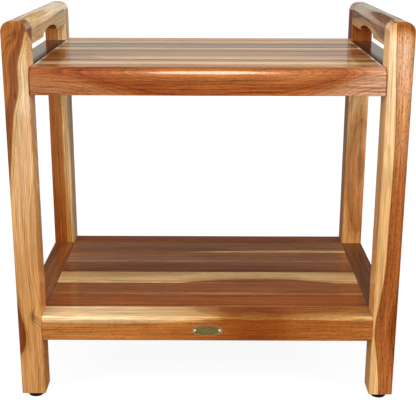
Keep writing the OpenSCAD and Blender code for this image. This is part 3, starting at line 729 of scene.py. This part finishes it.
def painted_rim_highlight(tree):
    """Brightens the rim of the plate with a painted highlight."""
    low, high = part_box("badge_plate")
    across, up = high.x - low.x, high.z - low.z
    place = wire(tree, "VectorMath", {0: place_on(tree), 1: (low + high) / 2},
                 operation="SUBTRACT").outputs[0]
    place = wire(tree, "VectorMath", {0: place, 1: (2 / across, 0, 2 / up)},
                 operation="MULTIPLY").outputs[0]
    out = wire(tree, "VectorMath", {0: place}, operation="LENGTH").outputs["Value"]
    base = tree.nodes["Principled BSDF"].inputs["Base Color"]
    field = base.links[0].from_socket
    tree.links.new(blend(tree, ramp(tree, out, RIM_FROM, RIM_TO), field, shade(*RIM_HIGHLIGHT)), base)


AGED_BRASS = worn_metal("aged_brass", (178, 150, 92), (140, 114, 64), 0.4, metallic=0.6)
painted_rim_highlight(AGED_BRASS.node_tree)
dress("badge_plate", AGED_BRASS)
# The pins are near white and barely metallic: painted highlights.
dress("badge_pins", worn_metal("pin_painted_highlight", (255, 246, 226), (246, 228, 190), 0.3, metallic=0.15))

# ---------------------------------------------------------------- studio
# A white floor and a white surround, lit softly from the front and above. Both are white to look
# at, and dimmer where they only light the bench or show in its polish.
FLOOR_REACH = 25
FLOOR_SEEN, FLOOR_IN_POLISH, FLOOR_LIGHTING, FLOOR_GLOW = 0.2, 0.12, 0.3, 0.9


def grey(level):
    """An even grey, as the linear value that a shader takes."""
    return (level, level, level, 1)


floor_mesh = bpy.data.meshes.new("floor")
floor = bpy.data.objects.new("floor", floor_mesh)
bpy.context.scene.collection.objects.link(floor)
sheet = bmesh.new()
bmesh.ops.create_grid(sheet, x_segments=1, y_segments=1, size=FLOOR_REACH)
sheet.to_mesh(floor_mesh)
sheet.free()
paper, tree, shader = new_finish("white_floor")
rays = wire(tree, "LightPath", {}).outputs
unseen = blend(tree, rays["Is Glossy Ray"], grey(FLOOR_LIGHTING), grey(FLOOR_IN_POLISH))
tree.links.new(blend(tree, rays["Is Camera Ray"], unseen, grey(FLOOR_SEEN)), shader.inputs["Base Color"])
shader.inputs["Roughness"].default_value = 1.0
shader.inputs["Specular IOR Level"].default_value = 0.0
shader.inputs["Emission Color"].default_value = grey(1)
tree.links.new(calc(tree, "MULTIPLY", rays["Is Camera Ray"], FLOOR_GLOW), shader.inputs["Emission Strength"])
floor_mesh.materials.append(paper)

# The surround: how high it starts to dim, as the rise of a ray, and how bright it is below and above
DIM_FROM = 0.16
DIM_TO_IN_POLISH, LOW_IN_POLISH, HIGH_IN_POLISH = 0.22, 0.86, 0.1
DIM_TO, LOW, HIGH = 0.5, 0.9, 0.2
WARM_POLISH = (0.95, 0.9, 0.79, 1)


def dimming(tree, rise, dim_to, low, high):
    """The strength of a surround that dims from low to high up."""
    return wire(tree, "MapRange", {"Value": rise, "From Min": DIM_FROM, "From Max": dim_to, "To Min": low,
                                   "To Max": high}, interpolation_type="SMOOTHSTEP").outputs["Result"]


world = bpy.data.worlds.new("white_surround")
bpy.context.scene.world = world
world.use_nodes = True
tree = world.node_tree
rays = wire(tree, "LightPath", {}).outputs
rise = apart(tree, wire(tree, "TexCoord", {}).outputs["Generated"])[2]
in_polish = dimming(tree, rise, DIM_TO_IN_POLISH, LOW_IN_POLISH, HIGH_IN_POLISH)
strength = wire(tree, "Mix", {"Factor": rays["Is Glossy Ray"], "A": dimming(tree, rise, DIM_TO, LOW, HIGH),
                              "B": in_polish}).outputs[0]
seen = calc(tree, "MAXIMUM", rays["Is Camera Ray"], rays["Is Transmission Ray"])
background = tree.nodes["Background"]
tree.links.new(blend(tree, rays["Is Glossy Ray"], PLAIN, WARM_POLISH), background.inputs["Color"])
tree.links.new(calc(tree, "MAXIMUM", seen, strength), background.inputs["Strength"])


def lamp(name, strength, pitch, heading, angle=40):
    """A broad, soft lamp far away, that draws no glare on the polish. pitch is how far down it
    shines and heading where from."""
    light = bpy.data.lights.new(name, "SUN")
    light.energy = strength
    light.angle = math.radians(angle)
    held = bpy.data.objects.new(name, light)
    held.visible_glossy = False
    held.rotation_euler = (math.radians(90 - pitch), 0, math.radians(heading))
    bpy.context.scene.collection.objects.link(held)


lamp("left_key", strength=1.25, pitch=22, heading=-55)
lamp("right_key", strength=1.25, pitch=22, heading=55)
lamp("top", strength=1.2, pitch=56, heading=0)

# A tall softbox over the camera only draws the long highlight along the front of the seat
SOFTBOX_AT, SOFTBOX_AIM = Vector((0, -0.96, 1.67)), Vector((0, -0.17, 0.45))
strip = bpy.data.lights.new("softbox", "AREA")
strip.shape = "ELLIPSE"
strip.color = (1, 0.9, 0.76)
strip.size = 0.34
strip.size_y = 1.0
strip.energy = 21
softbox = bpy.data.objects.new("softbox", strip)
softbox.location = SOFTBOX_AT
softbox.rotation_euler = (SOFTBOX_AIM - SOFTBOX_AT).to_track_quat("-Z", "Y").to_euler()
softbox.visible_camera = False
softbox.visible_diffuse = False
highlit = bpy.data.collections.new("highlit")
highlit.objects.link(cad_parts["seat_front_rail"])
softbox.light_linking.receiver_collection = highlit
bpy.context.scene.collection.objects.link(softbox)

# The camera stands in front, a little above the grips, and looks down
CAMERA_AT = Vector((0.0036, -1.2774, 0.6171))
LOOK_DOWN, TURN, ROLL = (math.radians(angle) for angle in (16.554, 0.154, 0.141))
camera = bpy.data.objects.new("camera", bpy.data.cameras.new("camera"))
bpy.context.scene.collection.objects.link(camera)
bpy.context.scene.camera = camera
camera.data.lens = 77.71
camera.data.sensor_width = 36
camera.matrix_world = (
    Matrix.Translation(CAMERA_AT) @ Matrix.Rotation(TURN, 4, "Z")
    @ Matrix.Rotation(math.pi / 2 - LOOK_DOWN, 4, "X") @ Matrix.Rotation(ROLL, 4, "Z"))

bpy.context.scene.view_settings.view_transform = "Standard"
